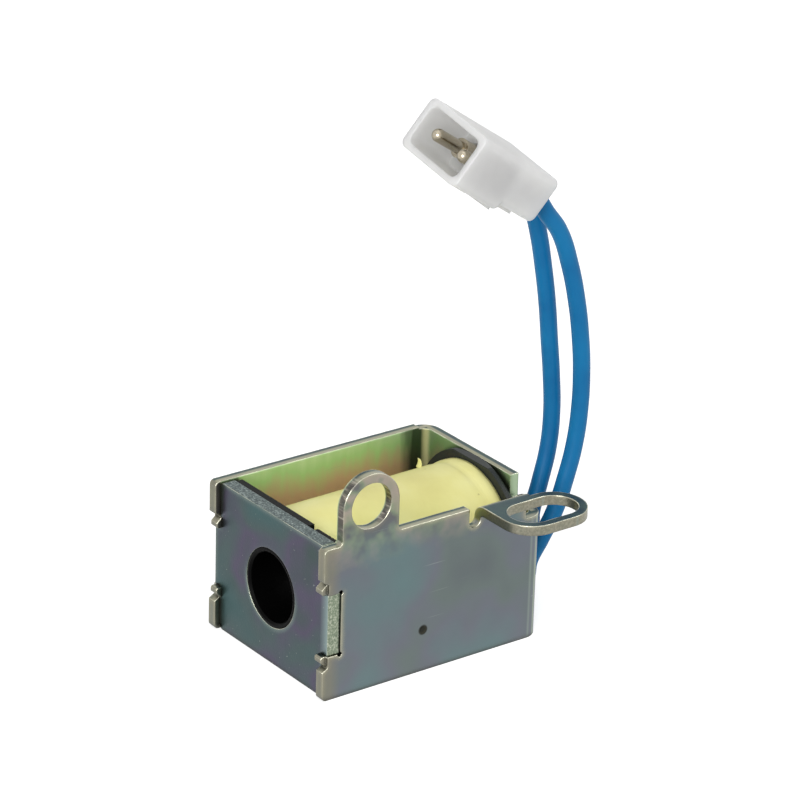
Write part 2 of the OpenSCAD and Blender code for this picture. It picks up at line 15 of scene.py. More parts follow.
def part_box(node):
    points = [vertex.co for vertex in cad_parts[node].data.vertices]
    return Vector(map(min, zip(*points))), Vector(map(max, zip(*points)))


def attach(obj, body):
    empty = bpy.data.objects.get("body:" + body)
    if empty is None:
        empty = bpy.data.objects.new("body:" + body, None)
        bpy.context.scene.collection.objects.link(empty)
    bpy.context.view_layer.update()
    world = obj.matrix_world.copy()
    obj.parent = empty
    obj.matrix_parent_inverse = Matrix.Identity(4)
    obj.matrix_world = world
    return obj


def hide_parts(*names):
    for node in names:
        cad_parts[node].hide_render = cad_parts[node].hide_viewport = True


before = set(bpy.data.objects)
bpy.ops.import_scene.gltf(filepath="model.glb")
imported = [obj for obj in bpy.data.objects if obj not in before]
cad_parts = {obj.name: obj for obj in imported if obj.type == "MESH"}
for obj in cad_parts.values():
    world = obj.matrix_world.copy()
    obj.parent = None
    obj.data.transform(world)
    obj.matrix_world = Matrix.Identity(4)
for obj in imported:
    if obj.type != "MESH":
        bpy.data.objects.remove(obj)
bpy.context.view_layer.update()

MM = 0.001
FIXED = "frame_body"

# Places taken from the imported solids
PLATE_LO, PLATE_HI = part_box("front_plate")
WINDING_LO, WINDING_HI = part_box("winding")
AXIS_Z = (WINDING_LO.z + WINDING_HI.z) / 2
# The grommet's lip lies against the outside of the back wall
GROMMET_LIP = 1 * MM
BACK_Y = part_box("lead_grommet")[1].y - GROMMET_LIP
SHEET_T = 1.6 * MM
WALL_OUTSIDE = -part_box("frame")[0].x
WALL_INSIDE = WALL_OUTSIDE - SHEET_T
# The plate stands this much lower than the walls
PLATE_DROP = 0.1 * MM
WALL_TOP = PLATE_HI.z + PLATE_DROP


# ---- camera ----

LOOK_AT = Vector((2.94, 20.55, 40.22)) * MM
AZIMUTH = math.radians(53.03)
ELEVATION = math.radians(23.35)
ROLL = math.radians(1.68)
DISTANCE = 583.6 * MM
# Blender takes the lens and the sensor's width in millimetres
LENS = 171.05
SENSOR_W = 36
CLIP_NEAR = 0.01
CLIP_FAR = 20


def make_camera():
    """A long lens from the front, to the right and above, a little rolled."""
    back = Vector((
        math.sin(AZIMUTH) * math.cos(ELEVATION),
        -math.cos(AZIMUTH) * math.cos(ELEVATION),
        math.sin(ELEVATION),
    ))
    level = Vector((0, 0, 1)).cross(back).normalized()
    upright = back.cross(level)
    right = math.cos(ROLL) * level + math.sin(ROLL) * upright
    up = back.cross(right)
    data = bpy.data.cameras.new("camera")
    data.lens = LENS
    data.sensor_width = SENSOR_W
    data.clip_start = CLIP_NEAR
    data.clip_end = CLIP_FAR
    camera = bpy.data.objects.new("camera", data)
    turn = Matrix((right, up, back)).transposed().to_4x4()
    camera.matrix_world = Matrix.Translation(LOOK_AT + back * DISTANCE) @ turn
    bpy.context.collection.objects.link(camera)
    bpy.context.scene.camera = camera


make_camera()


# ---- leads ----

LEAD_D = 2.8 * MM
# x, y from the frame's back face, z from the bobbin's axis, in millimetres
LEAD_A_ROUTE = [
    (6, -7, -10.4), (6, 1.2, -10.4), (5.9, 3.2, -9.5), (5.7, 4.6, -7.1), (5.4, 5.2, -3.7),
    (5, 5.4, -0.7), (4.6, 5.9, 2.6), (3.9, 7.9, 7.3), (3.4, 9.7, 12.8), (2.9, 10.5, 18.6),
    (2.5, 10.4, 24.7), (2.2, 9.9, 30.8), (2, 9.3, 37), (1.9, 8.3, 43.2), (1.7, 7.1, 49.3),
    (1.5, 6, 53.1), (1.3, 4.2, 56.7), (1.2, 2, 58.8), (2, -2.4, 61.7),
]
LEAD_B_ROUTE = [
    (8.4, -7, -7.9), (8.4, 1.2, -7.9), (8.4, 2.2, -6.7), (8.3, 2.9, -3.6), (8.4, 4.9, -0.3),
    (8.4, 7.6, 4.2), (8.3, 9.5, 9.1), (8.2, 11.1, 14.7), (8.1, 11.9, 20.6), (8, 12, 26.8),
    (8, 11.4, 33), (8, 10.3, 39.2), (8, 8.6, 45.5), (8, 6.1, 51.7), (7.8, 3.6, 55.1),
    (7.4, 2.1, 57.4), (8.2, -2.3, 60.3),
]


def make_lead(name, node, route):
    """A round lead on a smooth curve through its route."""
    points = [Vector((x * MM, BACK_Y + y * MM, AXIS_Z + z * MM)) for x, y, z in route]
    curve = bpy.data.curves.new(name, "CURVE")
    curve.dimensions = "3D"
    curve.bevel_resolution = 8
    curve.use_fill_caps = True
    curve.resolution_u = 10
    # The points carry the radius and the curve a unit one, because a curve's bounds grow by the
    # points' radius alone
    curve.bevel_depth = 1
    spline = curve.splines.new("BEZIER")
    spline.bezier_points.add(len(points) - 1)
    for bezier, point in zip(spline.bezier_points, points):
        bezier.co = point
        bezier.radius = LEAD_D / 2
        bezier.handle_left_type = bezier.handle_right_type = "AUTO"
    piece = bpy.data.objects.new(name, curve)
    bpy.context.collection.objects.link(piece)
    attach(piece, FIXED)
    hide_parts(node)
    return piece


wire_a = make_lead("wire_a", "lead_a", LEAD_A_ROUTE)
wire_b = make_lead("wire_b", "lead_b", LEAD_B_ROUTE)


# ---- tape wrap ----

TAPE_LO, TAPE_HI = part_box("coil_tape")
TAPE_T = 0.15 * MM
# Each turn of tape lies this much further out where it laps the one before
LAP_T = 0.06 * MM
WRAP_SIDES = 180
WRAP_RINGS = 70
WRAP_FRONT_R = 11.45 * MM
WRAP_BACK_R = 11.74 * MM
# Tape round a splice stands this far off its sleeve, and climbs to it over this length
OVER_SLEEVE = 0.18 * MM
CLIMB_L = 1.8 * MM
RAGGED_END = 0.12 * MM
# A ridge and a crease where the back flange bunches the tape
RIDGE_RISE = 0.12 * MM
RIDGE_Y = TAPE_HI.y - 1.6 * MM
CREASE_Y = TAPE_HI.y - 2.6 * MM
CREASE_DEPTH = 0.3 * MM
CREASE_W = 0.5 * MM
# How uneven the stretched film is, over a few millimetres and over the whole wrap
FINE_PULL = 0.035 * MM
BROAD_PULL = 0.05 * MM
# The torn end, its direction from the axis and its size
TAPE_END = math.radians(121)
FLAP_Y = 31.2 * MM
FLAP_W = 1.3 * MM
FLAP_H = 1.5 * MM
FLAP_ROOT = 0.05 * MM


def eased(value, low, high):
    """0 at low and 1 at high, with a smooth climb between."""
    t = min(max((value - low) / (high - low), 0), 1)
    return t * t * (3 - 2 * t)


def taut_radius(angle, rods):
    """How far out a band pulled tight round those rods lies, in one direction from the axis."""
    reach = []
    # Every 2 degrees, up to 80 to either side: past that a taut line is never the nearest
    for step in range(-40, 41):
        turn = angle + math.radians(2 * step)
        support = max(x * math.cos(turn) + z * math.sin(turn) + r for x, z, r in rods)
        reach.append(support / math.cos(turn - angle))
    return min(reach)


def wrapped_rods():
    """The coil and the two splices as rods along Y: x, z from the axis, and radius."""
    rods = [(0, 0, WRAP_BACK_R)]
    for node in ("splice_sleeve_a", "splice_sleeve_b"):
        low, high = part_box(node)
        rods.append((
            (low.x + high.x) / 2, (low.z + high.z) / 2 - AXIS_Z, (high.x - low.x) / 2 + OVER_SLEEVE,
        ))
    return rods


def wind_tape(shape):
    """A tube of tape, pulled tight over the splices and creased and uneven along its length."""
    rods = wrapped_rods()
    splice_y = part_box("splice_sleeve_a")[0].y
    bmesh.ops.create_cone(
        shape, cap_ends=False, segments=WRAP_SIDES, radius1=1, radius2=1, depth=1,
    )
    bmesh.ops.rotate(shape, verts=shape.verts, matrix=Matrix.Rotation(-math.pi / 2, 3, "X"))
    long_edges = [e for e in shape.edges if abs(e.verts[0].co.y - e.verts[1].co.y) > 0.5]
    bmesh.ops.subdivide_edges(shape, edges=long_edges, cuts=WRAP_RINGS, use_grid_fill=True)
    over_splices = {}
    # The noise is read on a circle round the axis, and a larger circle gives more waves a turn
    for vert in shape.verts:
        angle = math.atan2(vert.co.z, vert.co.x)
        around = Vector((math.cos(angle), 0, math.sin(angle)))
        key = round(angle, 4)
        if key not in over_splices:
            over_splices[key] = taut_radius(angle, rods) - WRAP_BACK_R
        along = vert.co.y + 0.5
        wander = RAGGED_END * (1 + noise.noise(around * 2.5))
        y = TAPE_LO.y + wander + (TAPE_HI.y - TAPE_LO.y - 1.5 * wander) * along
        radius = WRAP_FRONT_R + (WRAP_BACK_R - WRAP_FRONT_R) * along
        radius += LAP_T * (((TAPE_END - angle) / math.tau) % 1)
        radius += RIDGE_RISE * eased(y, RIDGE_Y - 0.3 * MM, RIDGE_Y + 0.4 * MM)
        radius += over_splices[key] * eased(y, splice_y - CLIMB_L, splice_y)
        folded = 0.5 + 0.5 * noise.noise(around * 1.7 + Vector((3, 0, 1)))
        crease = CREASE_Y + CREASE_W * noise.noise(around * 2.3)
        radius -= CREASE_DEPTH * folded * math.exp(-((y - crease) / CREASE_W) ** 2)
        pulled = around * 11 + Vector((0, y / MM * 0.9, 0))
        broad = around * 3 + Vector((0, y / MM * 0.12, 5))
        radius += FINE_PULL * noise.noise(pulled * 0.35) + BROAD_PULL * noise.noise(broad)
        vert.co = Vector((around.x * radius, y, AXIS_Z + around.z * radius))


def raise_torn_end(shape):
    """The tape's end: a small flap that narrows upwards, curls back and is torn on one side."""
    foot = Vector((math.cos(TAPE_END), 0, math.sin(TAPE_END))) * (WRAP_BACK_R - FLAP_ROOT)
    flap = bmesh.ops.create_grid(shape, x_segments=4, y_segments=8, size=0.5)["verts"]
    for vert in flap:
        across, up = vert.co.x, vert.co.y + 0.5
        torn = 1 - 0.3 * up - 0.35 * up * up * (across > 0)
        vert.co = Vector((
            foot.x + across * FLAP_W * torn,
            FLAP_Y + (0.25 * math.sin(2.6 * up) + 0.5 * across * across) * MM,
            AXIS_Z + foot.z + up * FLAP_H,
        ))


def make_tape_wrap():
    """Tape wound tight over the coil and the two splices, with its torn end up."""
    shape = bmesh.new()
    wind_tape(shape)
    raise_torn_end(shape)
    for face in shape.faces:
        face.smooth = True
    bmesh.ops.recalc_face_normals(shape, faces=shape.faces)
    mesh = bpy.data.meshes.new("tape_wrap")
    shape.to_mesh(mesh)
    shape.free()
    piece = bpy.data.objects.new("tape_wrap", mesh)
    bpy.context.collection.objects.link(piece)
    film = piece.modifiers.new("film", "SOLIDIFY")
    film.thickness = TAPE_T
    film.offset = -1
    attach(piece, FIXED)
    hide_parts("coil_tape")
    return piece


tape_wrap = make_tape_wrap()


# ---- finishes: how they are put together ----

# The Mix node's sockets: its share, then the two colours that it blends and their blend
BLEND = 0
UNDER = 6
OVER = 7
BLENDED = 2
# The same node's sockets when it blends two numbers
LESS = 2
MORE = 3
BETWEEN = 0
BLACK = "#000000"
WHITE = "#FFFFFF"


def colour(code):
    """A hex sRGB colour as linear RGBA."""
    parts = [int(code[i:i + 2], 16) / 255 for i in (1, 3, 5)]
    return [v / 12.92 if v <= 0.04045 else ((v + 0.055) / 1.055) ** 2.4 for v in parts] + [1]


def add(tree, kind, inputs=None, stops=None, **settings):
    """Adds a node with its settings, its inputs as values or links, and a ramp's colour stops."""
    node = tree.nodes.new("ShaderNode" + kind)
    for name, value in settings.items():
        setattr(node, name, value)
    for name, value in (inputs or {}).items():
        if isinstance(value, bpy.types.NodeSocket):
            tree.links.new(value, node.inputs[name])
        else:
            node.inputs[name].default_value = value
    if stops:
        elements = node.color_ramp.elements
        elements.remove(elements[1])
        elements[0].position, elements[0].color = stops[0][0], colour(stops[0][1])
        for position, code in stops[1:]:
            elements.new(position).color = colour(code)
    return node.outputs


def new_finish(name):
    """An empty material, its node tree and the object coordinates that its patterns follow."""
    material = bpy.data.materials.new(name)
    material.use_nodes = True
    material.node_tree.nodes.clear()
    return material, material.node_tree, add(material.node_tree, "TexCoord")["Object"]


# ---- finishes: zinc-plated steel ----

# The sizes of the bath's slow clouds, of its blotches and of the sheet's own speckle
CLOUD = 18 * MM
BLOTCH = 2.5 * MM
SPECKLE = 0.35 * MM
# Brings the edge mask to 1 on a square edge
EDGE_GAIN = 1.85
# How far from an edge the gathered film and the painted edge highlight reach
FILM_REACH = 1.8 * MM
EDGE_HIGHLIGHT_REACH = 0.4 * MM
# Where each rear fold begins, with a painted highlight along it
FOLD_HIGHLIGHT_Y = BACK_Y - 2.7 * MM
# A round punch mark on the near wall's outer face
PUNCH_MARK = (WALL_OUTSIDE, 16.8 * MM, 7.1 * MM)
PUNCH_R = 0.7 * MM

# The film's tints on open faces, by the clouds, and near an edge, by the edge mask
FRAME_TINTS = [
    (0.30, "#6C8485"), (0.43, "#6F8083"), (0.52, "#747981"), (0.60, "#717C7A"), (0.72, "#6B7375"),
]
FRAME_EDGES = [(0.2, "#77767F"), (0.42, "#7B8579"), (0.62, "#97957F"), (0.85, "#B3B098")]
# The plate's tints, darker than the frame's: partly its own patina, partly painted shade
PLATE_TINTS = [(0.34, "#446263"), (0.45, "#4C5D5E"), (0.53, "#575266"), (0.62, "#455654")]
PLATE_EDGES = [(0.2, "#566465"), (0.5, "#5E6E70"), (0.85, "#76857F")]


def read_sheet(tree, place):
    """What the layers of plating share: places, directions, three grains and rounded edges."""
    flat = add(tree, "NewGeometry")["True Normal"]
    return SimpleNamespace(
        tree=tree,
        place=place,
        flat=flat,
        at=add(tree, "SeparateXYZ", {"Vector": place}),
        facing=add(tree, "SeparateXYZ", {"Vector": flat}),
        cloud=add(tree, "TexNoise", {"Vector": place, "Scale": 1 / CLOUD, "Detail": 2})["Fac"],
        blotch=add(tree, "TexNoise", {"Vector": place, "Scale": 1 / BLOTCH, "Detail": 3})["Fac"],
        fine=add(tree, "TexNoise", {"Vector": place, "Scale": 1 / SPECKLE, "Detail": 3})["Fac"],
        rounded=add(tree, "Bevel", {"Radius": EDGE_HIGHLIGHT_REACH}, samples=8)["Normal"],
    )


def edge_mask(sheet, rounded, spread):
    """1 on an edge and 0 a bevel's radius away from it, made uneven by what spread adds."""
    tree = sheet.tree
    turned = add(tree, "VectorMath", {0: rounded, 1: sheet.flat}, operation="DOT_PRODUCT")["Value"]
    bent = add(tree, "Math", {0: 1.0, 1: turned}, operation="SUBTRACT")[0]
    rooted = add(tree, "Math", {0: bent}, operation="SQRT")[0]
    return add(tree, "Math", {0: rooted, 1: EDGE_GAIN, 2: spread}, operation="MULTIPLY_ADD")[0]


def passivate(sheet, open_tints, edge_tints):
    """The film: cloudy on open faces, another tint where it gathers near an edge.

    It is held back on the edges that look down, as painted shade.
    """
    tree = sheet.tree
    tint = add(tree, "ValToRGB", {"Fac": sheet.cloud}, open_tints)["Color"]
    wide = add(tree, "Bevel", {"Radius": FILM_REACH}, samples=6)["Normal"]
    ragged = add(tree, "MapRange", {
        "Value": sheet.blotch, "From Min": 0.3, "From Max": 0.7, "To Min": -0.12, "To Max": 0.12,
    })["Result"]
    gathered = edge_mask(sheet, wide, ragged)
    film = add(tree, "ValToRGB", {"Fac": gathered}, edge_tints)["Color"]
    held = add(tree, "MapRange", {"Value": gathered, "From Min": 0.2, "From Max": 0.65})["Result"]
    # Painted shade: the edge tint fades on edges that look down
    lit_from_above = add(tree, "MapRange", {
        "Value": add(tree, "SeparateXYZ", {"Vector": wide})["Z"],
        "From Min": -0.2, "From Max": 0.02, "To Min": 0.1,
    })["Result"]
    held = add(tree, "Math", {0: held, 1: lit_from_above}, operation="MULTIPLY")[0]
    return add(tree, "Mix", {BLEND: held, UNDER: tint, OVER: film}, data_type="RGBA")[BLENDED]


def straw_top(sheet, tint):
    """Straw, pink and olive along the top, where the frame hung in the bath, and on its lips."""
    tree = sheet.tree
    uneven = add(tree, "Math", {
        0: sheet.blotch, 1: 5 * MM, 2: sheet.at["Z"],
    }, operation="MULTIPLY_ADD")[0]
    hung = add(tree, "MapRange", {
        "Value": uneven, "To Max": 0.8,
        "From Min": WALL_TOP - 1.9 * MM, "From Max": WALL_TOP + 5.1 * MM,
    })["Result"]
    banded = add(tree, "TexNoise", {
        "Vector": sheet.place, "Scale": 1 / (6 * MM), "Detail": 3,
    })["Fac"]
    warm = add(tree, "ValToRGB", {"Fac": banded}, [
        (0.36, "#6D6B6C"), (0.45, "#8E9A7E"), (0.52, "#A8A38F"), (0.60, "#B3A597"),
        (0.68, "#84917C"),
    ])["Color"]
    tint = add(tree, "Mix", {BLEND: hung, UNDER: tint, OVER: warm}, data_type="RGBA")[BLENDED]
    lip = add(tree, "MapRange", {
        "Value": sheet.at["Y"], "To Max": 0.6,
        "From Min": PLATE_HI.y + 0.1 * MM, "From Max": PLATE_LO.y + 0.5 * MM,
    })["Result"]
    return add(tree, "Mix", {
        BLEND: lip, UNDER: tint, OVER: colour("#8B8674"),
    }, data_type="RGBA")[BLENDED]


def slotted_ear_rim(sheet, tint):
    """The slotted ear's cut rim: straw-coloured and faintly speckled."""
    tree = sheet.tree
    beyond = add(tree, "MapRange", {
        "Value": sheet.at["X"],
        "From Min": WALL_OUTSIDE + 0.1 * MM, "From Max": WALL_OUTSIDE + 1.5 * MM,
    })["Result"]
    upright = add(tree, "Math", {0: sheet.facing["Z"]}, operation="ABSOLUTE")[0]
    rim = add(tree, "MapRange", {
        "Value": upright, "From Min": 0.7, "From Max": 0.5, "To Max": 0.85,
    })["Result"]
    rim = add(tree, "Math", {0: rim, 1: beyond}, operation="MULTIPLY")[0]
    speckled = add(tree, "ValToRGB", {"Fac": sheet.fine}, [
        (0.36, "#8B8877"), (0.5, "#969280"), (0.66, "#A6A18D"),
    ])["Color"]
    return add(tree, "Mix", {BLEND: rim, UNDER: tint, OVER: speckled}, data_type="RGBA")[BLENDED]


def round_ear_rim(sheet, tint):
    """The round ear's cut rim: dark, with bars that the shear left through the sheet, drawn pale as
    painted glints.
    """
    tree = sheet.tree
    standing = add(tree, "MapRange", {
        "Value": sheet.at["Z"], "To Max": 0.8,
        "From Min": WALL_TOP + 1 * MM, "From Max": WALL_TOP + 2.6 * MM,
    })["Result"]
    sideways = add(tree, "Math", {0: sheet.facing["X"]}, operation="ABSOLUTE")[0]
    rim = add(tree, "MapRange", {"Value": sideways, "From Min": 0.6, "From Max": 0.35})["Result"]
    rim = add(tree, "Math", {0: rim, 1: standing}, operation="MULTIPLY")[0]
    through = add(tree, "Mapping", {"Vector": sheet.place, "Scale": (0.15, 1, 1)})["Vector"]
    bars = add(tree, "TexNoise", {"Vector": through, "Scale": 1 / (0.5 * MM), "Detail": 2})["Fac"]
    glinting_bars = add(tree, "ValToRGB", {"Fac": bars}, [
        (0.40, "#4A4543"), (0.55, "#6F6A62"), (0.66, "#B5AEA0"),
    ])["Color"]
    return add(tree, "Mix", {BLEND: rim, UNDER: tint, OVER: glinting_bars}, data_type="RGBA")[BLENDED]


def paint_fold_highlights(sheet, tint):
    """A pale line just ahead of each rear fold: a painted highlight."""
    tree = sheet.tree
    past = add(tree, "Math", {0: sheet.at["Y"], 1: FOLD_HIGHLIGHT_Y}, operation="SUBTRACT")[0]
    past = add(tree, "Math", {0: past}, operation="ABSOLUTE")[0]
    mark = add(tree, "MapRange", {
        "Value": past, "From Min": 0.35 * MM, "From Max": 0.05 * MM, "To Max": 0.45,
    })["Result"]
    return add(tree, "Mix", {
        BLEND: mark, UNDER: tint, OVER: colour("#97A399"),
    }, data_type="RGBA")[BLENDED]


def inside_mask(sheet):
    """1 on the walls' inner faces, from the plate to the back wall, and 0 elsewhere."""
    tree = sheet.tree
    across = add(tree, "Math", {0: sheet.at["X"]}, operation="ABSOLUTE")[0]
    inner = add(tree, "MapRange", {
        "Value": across, "From Min": WALL_INSIDE + 0.3 * MM, "From Max": WALL_INSIDE + 0.1 * MM,
    })["Result"]
    ahead = add(tree, "MapRange", {
        "Value": sheet.at["Y"], "From Min": BACK_Y - 0.8 * MM, "From Max": BACK_Y - 1.2 * MM,
    })["Result"]
    behind = add(tree, "MapRange", {
        "Value": sheet.at["Y"],
        "From Min": PLATE_LO.y - 0.1 * MM, "From Max": PLATE_LO.y + 0.3 * MM,
    })["Result"]
    inner = add(tree, "Math", {0: inner, 1: ahead}, operation="MULTIPLY")[0]
    return add(tree, "Math", {0: inner, 1: behind}, operation="MULTIPLY")[0]


def line_inside(sheet, tint, inner):
    """Inside, the film dried thicker: green at the top, rust-pink lower down.

    Painted shade darkens the rear corners and the back wall, and a painted highlight lies on the
    folds.
    """
    tree, facing = sheet.tree, sheet.facing
    # Runs of the draining bath, a few millimetres wide and long down the wall
    drained = add(tree, "Mapping", {"Vector": sheet.place, "Scale": (1, 1, 0.25)})["Vector"]
    runs = add(tree, "TexNoise", {"Vector": drained, "Scale": 1 / (4 * MM), "Detail": 3})["Fac"]
    level = add(tree, "Math", {
        0: runs, 1: 9 * MM, 2: sheet.at["Z"],
    }, operation="MULTIPLY_ADD")[0]
    height = add(tree, "MapRange", {
        "Value": level, "From Min": 14 * MM, "From Max": 31 * MM,
    })["Result"]
    lining = add(tree, "ValToRGB", {"Fac": height}, [
        (0.30, "#CDB3A4"), (0.58, "#D6BCA8"), (0.70, "#CCCDA6"), (0.82, "#BCE0A6"),
        (1.0, "#D4ECC2"),
    ])["Color"]
    # Painted shade: dark in the rear corners, and the back wall deeper green
    deep = add(tree, "Math", {0: runs, 1: 6 * MM, 2: sheet.at["Y"]}, operation="MULTIPLY_ADD")[0]
    corner_shade = add(tree, "MapRange", {
        "Value": deep, "From Min": BACK_Y - 4.1 * MM, "From Max": BACK_Y - 1.1 * MM, "To Max": 0.93,
    })["Result"]
    side = add(tree, "Mix", {
        BLEND: corner_shade, UNDER: lining, OVER: colour("#3B4A33"),
    }, data_type="RGBA")[BLENDED]
    back = add(tree, "Mix", {
        BLEND: 0.45, UNDER: lining, OVER: colour("#4F6A3C"),
    }, data_type="RGBA")[BLENDED]
    sideways = add(tree, "Math", {0: facing["X"]}, operation="ABSOLUTE")[0]
    on_side = add(tree, "MapRange", {"Value": sideways, "From Min": 0.5, "From Max": 0.9})["Result"]
    lining = add(tree, "Mix", {BLEND: on_side, UNDER: back, OVER: side}, data_type="RGBA")[BLENDED]
    # Painted highlight: the folds themselves are straw
    oblique = add(tree, "Math", {0: facing["X"], 1: facing["Y"]}, operation="MULTIPLY")[0]
    oblique = add(tree, "Math", {0: oblique}, operation="ABSOLUTE")[0]
    fold = add(tree, "MapRange", {
        "Value": oblique, "From Min": 0.2, "From Max": 0.45, "To Max": 0.8,
    })["Result"]
    lining = add(tree, "Mix", {
        BLEND: fold, UNDER: lining, OVER: colour("#C9C69C"),
    }, data_type="RGBA")[BLENDED]
    return add(tree, "Mix", {BLEND: inner, UNDER: tint, OVER: lining}, data_type="RGBA")[BLENDED]


def shade_tops_light_rims(sheet, tint):
    """Level faces painted dark, as painted shade for the dark surroundings that they reflect.

    The punch rolled over one edge of each wall's rim, and that edge carries a painted highlight:
    the inner one on the far and back walls, the outer one on the near wall.
    """
    tree = sheet.tree
    level = add(tree, "MapRange", {
        "Value": sheet.facing["Z"], "From Min": 0.8, "From Max": 0.97,
    })["Result"]
    # Painted shade on level faces
    top_shade = add(tree, "ValToRGB", {"Fac": sheet.blotch}, [(0.35, "#34494E"), (0.65, "#435B57")])
    # The bands' stops are shares of these two ranges
    across = add(tree, "MapRange", {
        "Value": sheet.at["X"], "From Min": -16 * MM, "From Max": 16 * MM,
    })["Result"]
    # Painted highlight bands along one edge of each rim
    side_rim_highlights = add(tree, "ValToRGB", {"Fac": across}, [
        (0.030, BLACK), (0.046, WHITE), (0.065, WHITE), (0.069, BLACK),
        (0.946, BLACK), (0.962, WHITE), (0.987, WHITE), (0.991, BLACK),
    ])["Color"]
    along = add(tree, "MapRange", {
        "Value": sheet.at["Y"], "From Min": BACK_Y - 2.3 * MM, "From Max": BACK_Y + 0.7 * MM,
    })["Result"]
    back_rim_highlight = add(tree, "ValToRGB", {"Fac": along}, [
        (0.20, BLACK), (0.24, WHITE), (0.42, WHITE), (0.55, BLACK),
    ])["Color"]
    inboard = add(tree, "MapRange", {
        "Value": sheet.at["X"], "From Min": WALL_INSIDE, "From Max": WALL_INSIDE - 0.3 * MM,
    })["Result"]
    back_rim_highlight = add(tree, "Math", {0: back_rim_highlight, 1: inboard}, operation="MULTIPLY")[0]
    bright = add(tree, "Math", {0: side_rim_highlights, 1: back_rim_highlight}, operation="MAXIMUM")[0]
    top_shade = add(tree, "Mix", {
        BLEND: bright, UNDER: top_shade["Color"], OVER: colour("#A3A28C"),
    }, data_type="RGBA")[BLENDED]
    return add(tree, "Mix", {BLEND: level, UNDER: tint, OVER: top_shade}, data_type="RGBA")[BLENDED]


def bare_wall_end(sheet, tint):
    """The end of the back wall's top edge, at its cutout: bare of film, pale and green."""
    tree = sheet.tree
    end_on = add(tree, "MapRange", {
        "Value": sheet.facing["X"], "From Min": 0.8, "From Max": 0.95,
    })["Result"]
    in_back_wall = add(tree, "Math", {
        0: sheet.at["Y"], 1: BACK_Y - SHEET_T - 0.1 * MM,
    }, operation="GREATER_THAN")[0]
    set_in = add(tree, "Math", {
        0: sheet.at["X"], 1: WALL_OUTSIDE - 0.05 * MM,
    }, operation="LESS_THAN")[0]
    end = add(tree, "Math", {0: in_back_wall, 1: set_in}, operation="MULTIPLY")[0]
    end = add(tree, "Math", {0: end, 1: end_on}, operation="MULTIPLY")[0]
    return add(tree, "Mix", {
        BLEND: end, UNDER: tint, OVER: colour("#A9BE9E"),
    }, data_type="RGBA")[BLENDED]


def rolled_edge_highlight(sheet, tint):
    """The plate's near edge was rolled over in blanking; its shine is a painted highlight."""
    tree = sheet.tree
    # Painted highlight along the rolled edge
    rolled = add(tree, "MapRange", {
        "Value": sheet.at["X"], "To Max": 0.8,
        "From Min": PLATE_HI.x - 2 * MM, "From Max": PLATE_HI.x - 0.1 * MM,
    })["Result"]
    return add(tree, "Mix", {
        BLEND: rolled, UNDER: tint, OVER: colour("#93A7A6"),
    }, data_type="RGBA")[BLENDED]


def paint_edge_highlights(sheet, tint):
    """Edges painted pale, a painted highlight broken by the grain.

    It is strongest on the edges that look up, and faint on those that look down.
    """
    tree = sheet.tree
    grainy = add(tree, "Math", {0: sheet.fine, 1: -0.35, 2: 0.175}, operation="MULTIPLY_ADD")[0]
    edge_nearness = edge_mask(sheet, sheet.rounded, grainy)
    edge_highlight = add(tree, "MapRange", {"Value": edge_nearness, "From Min": 0.45, "From Max": 0.8})["Result"]
    patchy = add(tree, "MapRange", {
        "Value": sheet.blotch, "From Min": 0.38, "From Max": 0.58, "To Min": 0.3, "To Max": 1.0,
    })["Result"]
    edge_highlight = add(tree, "Math", {0: edge_highlight, 1: patchy}, operation="MULTIPLY")[0]
    lifted = add(tree, "SeparateXYZ", {"Vector": sheet.rounded})["Z"]
    facing_up_share = add(tree, "MapRange", {
        "Value": lifted, "From Min": -0.1, "From Max": 0.45, "To Min": 0.12, "To Max": 1.0,
    })["Result"]
    edge_highlight = add(tree, "Math", {0: edge_highlight, 1: facing_up_share}, operation="MULTIPLY")[0]
    # Painted highlight on the edges, strongest on those that look up
    return add(tree, "Mix", {
        BLEND: edge_highlight, UNDER: tint, OVER: colour("#E9E7D2"),
    }, data_type="RGBA")[BLENDED]


def paint_crevice_shade(sheet, tint):
    """Painted shade in corners and holes, and a dark punch mark."""
    tree = sheet.tree
    # Painted shade where the surroundings close in
    open_to_air = add(tree, "AmbientOcclusion", {"Distance": 1.2 * MM}, samples=6)["AO"]
    unshaded = add(tree, "MapRange", {
        "Value": open_to_air, "From Min": 0.4, "From Max": 0.85, "To Min": 0.1, "To Max": 1.0,
    })["Result"]
    from_punch = add(tree, "VectorMath", {
        0: sheet.place, 1: PUNCH_MARK,
    }, operation="DISTANCE")["Value"]
    outside_punch = add(tree, "MapRange", {
        "Value": from_punch, "From Min": PUNCH_R, "From Max": PUNCH_R + 0.25 * MM, "To Min": 0.06,
    })["Result"]
    unshaded = add(tree, "Math", {0: unshaded, 1: outside_punch}, operation="MINIMUM")[0]
    return add(tree, "Mix", {
        BLEND: unshaded, UNDER: colour("#2B2B24"), OVER: tint,
    }, data_type="RGBA")[BLENDED]


def scratch(sheet, tint):
    """A few handling scratches, drawn 0.15 mm wide so that they show."""
    tree = sheet.tree
    dragged = add(tree, "Mapping", {
        "Vector": sheet.place, "Rotation": (0.35, 0, 0.2), "Scale": (1, 0.035, 1),
    })["Vector"]
    drag = add(tree, "TexNoise", {"Vector": dragged, "Scale": 1 / (0.5 * MM), "Detail": 1})["Fac"]
    line = add(tree, "MapRange", {
        "Value": drag, "From Min": 0.74, "From Max": 0.80, "To Min": 0, "To Max": 0.5,
    })["Result"]
    return add(tree, "Mix", {
        BLEND: line, UNDER: tint, OVER: colour("#A5ADA8"),
    }, data_type="RGBA")[BLENDED]


def uneven_shine(sheet):
    """The plating's roughness, which follows its blotches."""
    return add(sheet.tree, "MapRange", {
        "Value": sheet.blotch, "From Min": 0.3, "From Max": 0.7, "To Min": 0.3, "To Max": 0.4,
    })["Result"]


